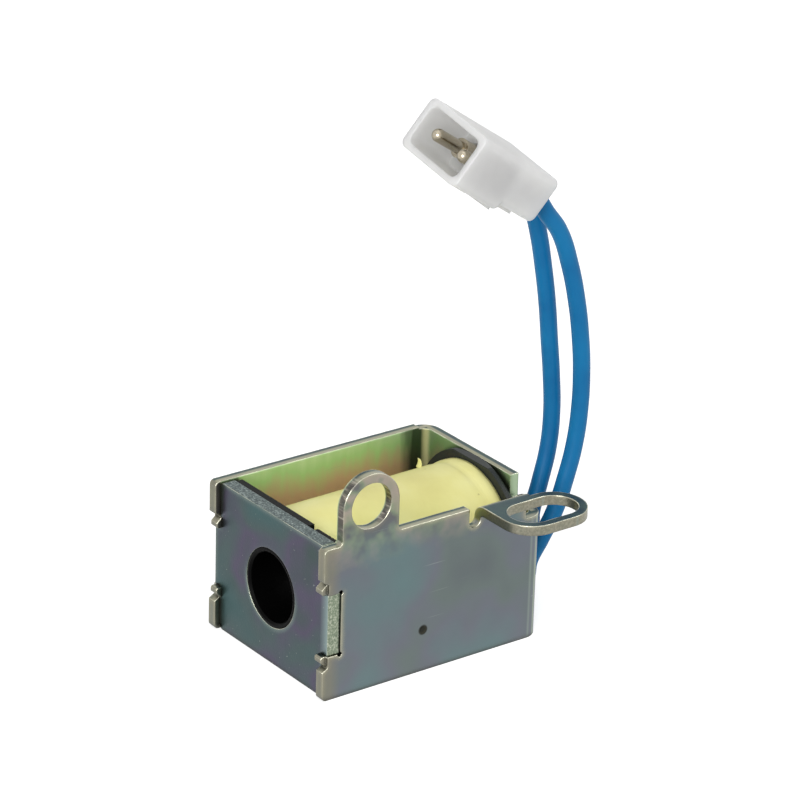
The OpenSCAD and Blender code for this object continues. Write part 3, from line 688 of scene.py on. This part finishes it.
def steel_skin(sheet, tint, shine, relief, depth):
    """Closes a plated finish: metal of that tint and roughness, with rounded edges and a relief."""
    tree = sheet.tree
    normal = add(tree, "Bump", {
        "Height": relief, "Distance": depth, "Normal": sheet.rounded,
    })["Normal"]
    skin = add(tree, "BsdfPrincipled", {
        "Base Color": tint, "Metallic": 1.0, "Roughness": shine, "Normal": normal,
    })["BSDF"]
    add(tree, "OutputMaterial", {"Surface": skin})


def zinc_chromate_frame():
    """Cold-rolled sheet steel, folded, zinc plated and chromate passivated.

    The film is thin enough to shift in tint: blue-grey with teal and mauve on the open faces,
    mauve, olive and straw towards an edge, and a pale painted highlight on the edge itself.
    """
    material, tree, place = new_finish("zinc_chromate_frame")
    sheet = read_sheet(tree, place)
    inner = inside_mask(sheet)
    tint = passivate(sheet, FRAME_TINTS, FRAME_EDGES)
    tint = straw_top(sheet, tint)
    tint = slotted_ear_rim(sheet, tint)
    tint = round_ear_rim(sheet, tint)
    tint = paint_fold_highlights(sheet, tint)
    tint = line_inside(sheet, tint, inner)
    tint = shade_tops_light_rims(sheet, tint)
    tint = bare_wall_end(sheet, tint)
    tint = scratch(sheet, paint_crevice_shade(sheet, paint_edge_highlights(sheet, tint)))
    shine = add(tree, "Mix", {BLEND: inner, LESS: uneven_shine(sheet), MORE: 0.58})[BETWEEN]
    steel_skin(sheet, tint, shine, sheet.fine, 0.01 * MM)
    return material


def zinc_chromate_plate():
    """Thick steel plate, blanked, zinc plated and passivated: darker, with torn, dull cut faces.

    Its darker tints are partly the plate's own patina and partly painted shade.
    """
    material, tree, place = new_finish("zinc_chromate_plate")
    sheet = read_sheet(tree, place)
    tint = passivate(sheet, PLATE_TINTS, PLATE_EDGES)
    tint = rolled_edge_highlight(sheet, tint)
    tint = shade_tops_light_rims(sheet, tint)
    tint = scratch(sheet, paint_crevice_shade(sheet, paint_edge_highlights(sheet, tint)))
    # Cut faces: grey and speckled on top, paler and greener at the tabs' ends
    lengthways = add(tree, "Math", {0: sheet.facing["Y"]}, operation="ABSOLUTE")[0]
    cut = add(tree, "MapRange", {"Value": lengthways, "From Min": 0.6, "From Max": 0.4})["Result"]
    torn = add(tree, "TexNoise", {"Vector": place, "Scale": 1 / (0.3 * MM), "Detail": 4})["Fac"]
    grey = add(tree, "ValToRGB", {"Fac": torn}, [
        (0.35, "#4B5556"), (0.50, "#64706F"), (0.60, "#7F8B89"), (0.74, "#B4BDB8"),
    ])["Color"]
    pale = add(tree, "ValToRGB", {"Fac": torn}, [
        (0.35, "#7F8B79"), (0.52, "#98A48D"), (0.68, "#C9CDBB"),
    ])["Color"]
    end_on = add(tree, "Math", {0: sheet.facing["X"]}, operation="ABSOLUTE")[0]
    raw = add(tree, "Mix", {BLEND: end_on, UNDER: grey, OVER: pale}, data_type="RGBA")[BLENDED]
    tint = add(tree, "Mix", {BLEND: cut, UNDER: tint, OVER: raw}, data_type="RGBA")[BLENDED]
    shine = add(tree, "Mix", {BLEND: cut, LESS: uneven_shine(sheet), MORE: 0.5})[BETWEEN]
    relief = add(tree, "Mix", {BLEND: cut, LESS: sheet.fine, MORE: torn})[BETWEEN]
    steel_skin(sheet, tint, shine, relief, 0.02 * MM)
    return material


# ---- finishes: plastics, rubber and bare metals ----


def black_moulded_nylon():
    """Glass-filled black nylon from a spark-eroded mould: satin.

    Lighter towards the back, a painted reflection, and black in the bore, painted shade.
    """
    material, tree, place = new_finish("black_moulded_nylon")
    fine = add(tree, "TexNoise", {"Vector": place, "Scale": 1 / (0.3 * MM), "Detail": 2})["Fac"]
    flow = add(tree, "TexNoise", {"Vector": place, "Scale": 1 / (5 * MM), "Detail": 2})["Fac"]
    back = add(tree, "SeparateXYZ", {"Vector": place})["Y"]
    tint = add(tree, "ValToRGB", {"Fac": flow}, [(0.3, "#101211"), (0.7, "#1B1D1C")])["Color"]
    # Painted reflection: lighter towards the back
    lighter_back = add(tree, "MapRange", {
        "Value": back, "From Min": 20 * MM, "From Max": 34 * MM, "To Max": 0.5,
    })["Result"]
    tint = add(tree, "Mix", {
        BLEND: lighter_back, UNDER: tint, OVER: colour("#373D3A"),
    }, data_type="RGBA")[BLENDED]
    gloss = add(tree, "MapRange", {
        "Value": back, "From Min": 5 * MM, "From Max": 30 * MM, "To Min": 0.05, "To Max": 0.2,
    })["Result"]
    # The bore is painted blacker than the flanges: painted shade inside the tube
    centred = add(tree, "Mapping", {
        "Vector": place, "Location": (0, 0, -AXIS_Z), "Scale": (1, 0, 1),
    })["Vector"]
    out_from_axis = add(tree, "VectorMath", {0: centred}, operation="LENGTH")["Value"]
    outside_bore = add(tree, "MapRange", {
        "Value": out_from_axis, "From Min": 6.9 * MM, "From Max": 7.5 * MM,
    })["Result"]
    tint = add(tree, "Mix", {
        BLEND: outside_bore, UNDER: colour("#040404"), OVER: tint,
    }, data_type="RGBA")[BLENDED]
    shine = add(tree, "MapRange", {
        "Value": flow, "From Min": 0.3, "From Max": 0.7, "To Min": 0.36, "To Max": 0.48,
    })["Result"]
    edge = add(tree, "Bevel", {"Radius": 0.2 * MM}, samples=6)["Normal"]
    normal = add(tree, "Bump", {"Height": fine, "Distance": 0.012 * MM, "Normal": edge})["Normal"]
    skin = add(tree, "BsdfPrincipled", {
        "Base Color": tint, "Roughness": shine, "IOR": 1.53, "Specular IOR Level": gloss,
        "Normal": normal,
    })["BSDF"]
    add(tree, "OutputMaterial", {"Surface": skin})
    return material


def polyester_tape():
    """Yellow polyester film tape: opaque and dull, with faint stretch lines and a few specks."""
    material, tree, place = new_finish("yellow_polyester_tape")
    broad = add(tree, "TexNoise", {"Vector": place, "Scale": 1 / (7 * MM), "Detail": 3})["Fac"]
    tint = add(tree, "ValToRGB", {"Fac": broad}, [
        (0.3, "#E7E092"), (0.5, "#EEE89A"), (0.7, "#F3EEA6"),
    ])["Color"]
    # Dust caught under the film, drawn 0.3 mm across so that it shows
    dust = add(tree, "TexVoronoi", {"Vector": place, "Scale": 1 / (3.2 * MM)})["Distance"]
    speck = add(tree, "MapRange", {
        "Value": dust, "From Min": 0.07, "From Max": 0.04, "To Min": 0, "To Max": 0.45,
    })["Result"]
    tint = add(tree, "Mix", {
        BLEND: speck, UNDER: tint, OVER: colour("#A39A62"),
    }, data_type="RGBA")[BLENDED]
    pulled = add(tree, "Mapping", {"Vector": place, "Scale": (1, 2.2, 1)})["Vector"]
    lines = add(tree, "TexNoise", {"Vector": pulled, "Scale": 1 / (1.1 * MM), "Detail": 3})["Fac"]
    shine = add(tree, "MapRange", {
        "Value": lines, "From Min": 0.3, "From Max": 0.7, "To Min": 0.45, "To Max": 0.6,
    })["Result"]
    normal = add(tree, "Bump", {"Height": lines, "Distance": 0.035 * MM})["Normal"]
    skin = add(tree, "BsdfPrincipled", {
        "Base Color": tint, "Roughness": shine, "IOR": 1.5, "Specular IOR Level": 0.3,
        "Normal": normal,
    })["BSDF"]
    add(tree, "OutputMaterial", {"Surface": skin})
    return material


def pvc_insulation():
    """Blue PVC extruded over the strands: smooth, a soft shine, drawn very faintly lengthways."""
    material, tree, place = new_finish("blue_pvc_insulation")
    broad = add(tree, "TexNoise", {"Vector": place, "Scale": 1 / (6 * MM), "Detail": 2})["Fac"]
    tint = add(tree, "ValToRGB", {"Fac": broad}, [(0.3, "#03679F"), (0.7, "#0874AB")])["Color"]
    drawn = add(tree, "Mapping", {"Vector": place, "Scale": (1, 1, 0.15)})["Vector"]
    lines = add(tree, "TexNoise", {"Vector": drawn, "Scale": 1 / (0.3 * MM), "Detail": 2})["Fac"]
    shine = add(tree, "MapRange", {
        "Value": lines, "From Min": 0.3, "From Max": 0.7, "To Min": 0.38, "To Max": 0.5,
    })["Result"]
    normal = add(tree, "Bump", {"Height": lines, "Distance": 0.008 * MM})["Normal"]
    skin = add(tree, "BsdfPrincipled", {
        "Base Color": tint, "Roughness": shine, "IOR": 1.53, "Specular IOR Level": 0.22,
        "Normal": normal,
    })["BSDF"]
    add(tree, "OutputMaterial", {"Surface": skin})
    return material


def natural_nylon():
    """Unfilled nylon, moulded: milky, with a soft shine, and lighter where a wall is thin."""
    material, tree, place = new_finish("natural_nylon")
    flow = add(tree, "TexNoise", {"Vector": place, "Scale": 1 / (5 * MM), "Detail": 2})["Fac"]
    tint = add(tree, "ValToRGB", {"Fac": flow}, [(0.3, "#E0E0DE"), (0.7, "#E8E8E6")])["Color"]
    fine = add(tree, "TexNoise", {"Vector": place, "Scale": 1 / (0.4 * MM), "Detail": 2})["Fac"]
    shine = add(tree, "MapRange", {
        "Value": flow, "From Min": 0.3, "From Max": 0.7, "To Min": 0.32, "To Max": 0.42,
    })["Result"]
    edge = add(tree, "Bevel", {"Radius": 0.35 * MM}, samples=8)["Normal"]
    normal = add(tree, "Bump", {"Height": fine, "Distance": 0.01 * MM, "Normal": edge})["Normal"]
    skin = add(tree, "BsdfPrincipled", {
        "Base Color": tint, "Roughness": shine, "IOR": 1.53, "Subsurface Weight": 1.0,
        "Subsurface Radius": (6 * MM, 6 * MM, 5.8 * MM), "Subsurface Scale": 1.0,
        "Normal": normal,
    })["BSDF"]
    add(tree, "OutputMaterial", {"Surface": skin})
    return material


def worked_metal(name, dark, light, smooth, rough, lay=(1, 1, 1)):
    """A bare or plated metal: its colour and polish vary along the lay that the tool left."""
    material, tree, place = new_finish(name)
    # Tool marks are a few hundredths apart in life and drawn 0.25 mm apart so that they show
    laid = add(tree, "Mapping", {"Vector": place, "Scale": lay})["Vector"]
    marks = add(tree, "TexNoise", {"Vector": laid, "Scale": 1 / (0.25 * MM), "Detail": 3})["Fac"]
    tint = add(tree, "ValToRGB", {"Fac": marks}, [(0.3, dark), (0.7, light)])["Color"]
    shine = add(tree, "MapRange", {
        "Value": marks, "From Min": 0.3, "From Max": 0.7, "To Min": smooth, "To Max": rough,
    })["Result"]
    edge = add(tree, "Bevel", {"Radius": 0.12 * MM}, samples=6)["Normal"]
    normal = add(tree, "Bump", {"Height": marks, "Distance": 0.006 * MM, "Normal": edge})["Normal"]
    skin = add(tree, "BsdfPrincipled", {
        "Base Color": tint, "Metallic": 1.0, "Roughness": shine, "Normal": normal,
    })["BSDF"]
    add(tree, "OutputMaterial", {"Surface": skin})
    return material


def black_elastic(name, dark, light, rough):
    """Matt black rubber or shrunk polymer with a fine skin and a bloom that greys it in places."""
    material, tree, place = new_finish(name)
    pores = add(tree, "TexNoise", {"Vector": place, "Scale": 1 / (0.35 * MM), "Detail": 3})["Fac"]
    bloom = add(tree, "TexNoise", {"Vector": place, "Scale": 1 / (2.5 * MM), "Detail": 3})["Fac"]
    tint = add(tree, "ValToRGB", {"Fac": bloom}, [(0.3, dark), (0.7, light)])["Color"]
    shine = add(tree, "MapRange", {
        "Value": bloom, "From Min": 0.3, "From Max": 0.7, "To Min": rough - 0.06,
        "To Max": rough + 0.06,
    })["Result"]
    edge = add(tree, "Bevel", {"Radius": 0.15 * MM}, samples=6)["Normal"]
    normal = add(tree, "Bump", {"Height": pores, "Distance": 0.015 * MM, "Normal": edge})["Normal"]
    skin = add(tree, "BsdfPrincipled", {
        "Base Color": tint, "Roughness": shine, "IOR": 1.5, "Normal": normal,
    })["BSDF"]
    add(tree, "OutputMaterial", {"Surface": skin})
    return material


# ---- finishes: what wears which ----

# How a tool's marks are stretched: rings round a turned piece, streaks along a drawn one
TURNED = (1, 3, 1)
DRAWN = (1, 0.15, 1)

# A key is a node's name, or the name that a pair of nodes shares before its _a and _b
FINISHES = {
    "frame": zinc_chromate_frame(),
    "front_plate": zinc_chromate_plate(),
    "bobbin": black_moulded_nylon(),
    # Enamelled copper: warm and glossy, in turns laid side by side
    "winding": worked_metal("enamelled_copper", "#8A4A22", "#B8703A", 0.22, 0.36, TURNED),
    # Bare drawn copper: salmon, bright along its length
    "coil_tail": worked_metal("drawn_copper", "#B06A3C", "#D08A58", 0.24, 0.34, DRAWN),
    # Tinned brass crimp: pale, warm and softly bright
    "splice_crimp": worked_metal("tinned_crimp", "#B8B2A4", "#D6D2C6", 0.24, 0.34),
    # Shrunk polyolefin: black and satin
    "splice_sleeve": black_elastic("shrunk_polyolefin", "#101012", "#1C1C1F", 0.45),
    # Stranded copper: duller than the solid wire, grooved lengthways
    "conductor": worked_metal("stranded_copper", "#A86438", "#C88250", 0.3, 0.42, DRAWN),
    # Moulded nitrile rubber: matt, a touch grey
    "lead_grommet": black_elastic("nitrile_rubber", "#0D0D0D", "#1A1A1A", 0.6),
    # Free-cutting iron, nickelled and turned: rings of soft light
    "fixed_core": worked_metal("nickelled_core", "#9C9C9A", "#B8B8B6", 0.25, 0.35, TURNED),
    # Rolled brass shim: yellow, bright
    "shim_washer": worked_metal("rolled_brass", "#B8924A", "#D4AE62", 0.25, 0.35),
    # Free-cutting iron, nickelled and ground: fine rings, brighter than the core
    "plunger": worked_metal("nickelled_plunger", "#A0A09E", "#BEBEBC", 0.22, 0.32, TURNED),
    # Ground stainless rod: smooth and cool
    "push_rod": worked_metal("ground_stainless", "#B4B4B4", "#D0D0D0", 0.15, 0.25, TURNED),
    # Cut rubber washer: matt and black
    "stop_washer": black_elastic("cut_rubber", "#0E0E0E", "#1C1C1C", 0.6),
    # Spring steel, hardened and phosphated: dark and dry
    "retaining_clip": worked_metal("phosphated_spring_steel", "#3C3C3E", "#565658", 0.35, 0.5),
    "connector_housing": natural_nylon(),
    # Tinned brass pins, rolled from strip: warm grey and softly bright
    "terminal": worked_metal("tinned_brass_pin", "#ACA28E", "#C4BBA8", 0.16, 0.24),
    "lead": pvc_insulation(),
    "coil_tape": polyester_tape(),
}


def dress(piece, material):
    """Gives a piece that material alone."""
    piece.data.materials.clear()
    piece.data.materials.append(material)


for name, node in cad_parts.items():
    dress(node, FINISHES[name if name in FINISHES else name.rsplit("_", 1)[0]])
dress(tape_wrap, FINISHES["coil_tape"])
dress(wire_a, FINISHES["lead"])
dress(wire_b, FINISHES["lead"])


# ---- floor, backdrop and light ----

FLOOR_HALF = 1.5
# The floor lies this far under the frame, so that the two don't share a plane
FLOOR_DROP = 0.02 * MM
WHITE_LIGHT = (1, 1, 1, 1)
# Each lamp's name, place and side in metres, and power in watts
SOFTBOXES = [
    ("top_softbox", (0.05, -0.1, 0.8), 0.5, 0.3),
    ("rear_softbox", (0.35, 0.45, 0.6), 0.25, 1.1),
    ("front_softbox", (0.45, -0.65, 0.4), 0.5, 4.5),
]


def mirrored_rays(tree, rays):
    """1 for a ray that a shiny or clear surface sends on, and 0 for any other."""
    return add(tree, "Math", {
        0: rays["Is Glossy Ray"], 1: rays["Is Transmission Ray"],
    }, operation="MAXIMUM")[0]


def white_paper():
    """Matt white paper sweep: white to the eye and in reflections, darker only in deep shadow."""
    material, tree, place = new_finish("white_paper")
    pulp = add(tree, "TexNoise", {"Vector": place, "Scale": 1 / (40 * MM), "Detail": 2})["Fac"]
    tint = add(tree, "ValToRGB", {"Fac": pulp}, [(0.3, "#E2E2E2"), (0.7, "#E6E6E6")])["Color"]
    paper = add(tree, "BsdfDiffuse", {"Color": tint})["BSDF"]
    glow = add(tree, "Emission", {"Color": WHITE_LIGHT, "Strength": 0.6})["Emission"]
    white = add(tree, "Emission", {"Color": WHITE_LIGHT, "Strength": 1.0})["Emission"]
    lit = add(tree, "AddShader", {0: paper, 1: glow})["Shader"]
    rays = add(tree, "LightPath")
    seen = add(tree, "MixShader", {0: rays["Is Camera Ray"], 1: paper, 2: lit})["Shader"]
    top = add(tree, "MixShader", {0: mirrored_rays(tree, rays), 1: seen, 2: white})["Shader"]
    add(tree, "OutputMaterial", {"Surface": top})
    return material


def make_floor():
    """A wide floor just under the frame's lower edges."""
    mesh = bpy.data.meshes.new("floor")
    shape = bmesh.new()
    bmesh.ops.create_grid(shape, x_segments=1, y_segments=1, size=FLOOR_HALF)
    bmesh.ops.translate(shape, verts=shape.verts, vec=(0, 0, -FLOOR_DROP))
    shape.to_mesh(mesh)
    shape.free()
    floor = bpy.data.objects.new("floor", mesh)
    bpy.context.collection.objects.link(floor)
    dress(floor, white_paper())


def make_world():
    """Soft light from all round, white to the camera and in reflections."""
    world = bpy.data.worlds.new("studio")
    bpy.context.scene.world = world
    world.use_nodes = True
    tree = world.node_tree
    tree.nodes.clear()
    soft = add(tree, "Background", {"Color": WHITE_LIGHT, "Strength": 0.5})["Background"]
    white = add(tree, "Background", {"Color": WHITE_LIGHT, "Strength": 1.0})["Background"]
    rays = add(tree, "LightPath")
    clear = add(tree, "Math", {
        0: mirrored_rays(tree, rays), 1: rays["Is Camera Ray"],
    }, operation="MAXIMUM")[0]
    seen = add(tree, "MixShader", {0: clear, 1: soft, 2: white})["Shader"]
    add(tree, "OutputWorld", {"Surface": seen})


def add_softbox(name, place, side, power):
    """A square soft lamp that faces the point that the camera looks at."""
    data = bpy.data.lights.new(name, "AREA")
    data.shape = "SQUARE"
    data.size = side
    data.energy = power
    lamp = bpy.data.objects.new(name, data)
    lamp.location = Vector(place)
    lamp.rotation_mode = "QUATERNION"
    lamp.rotation_quaternion = (Vector(place) - LOOK_AT).to_track_quat("Z", "Y")
    bpy.context.collection.objects.link(lamp)


make_floor()
make_world()
for softbox in SOFTBOXES:
    add_softbox(*softbox)
bpy.context.scene.view_settings.view_transform = "Standard"
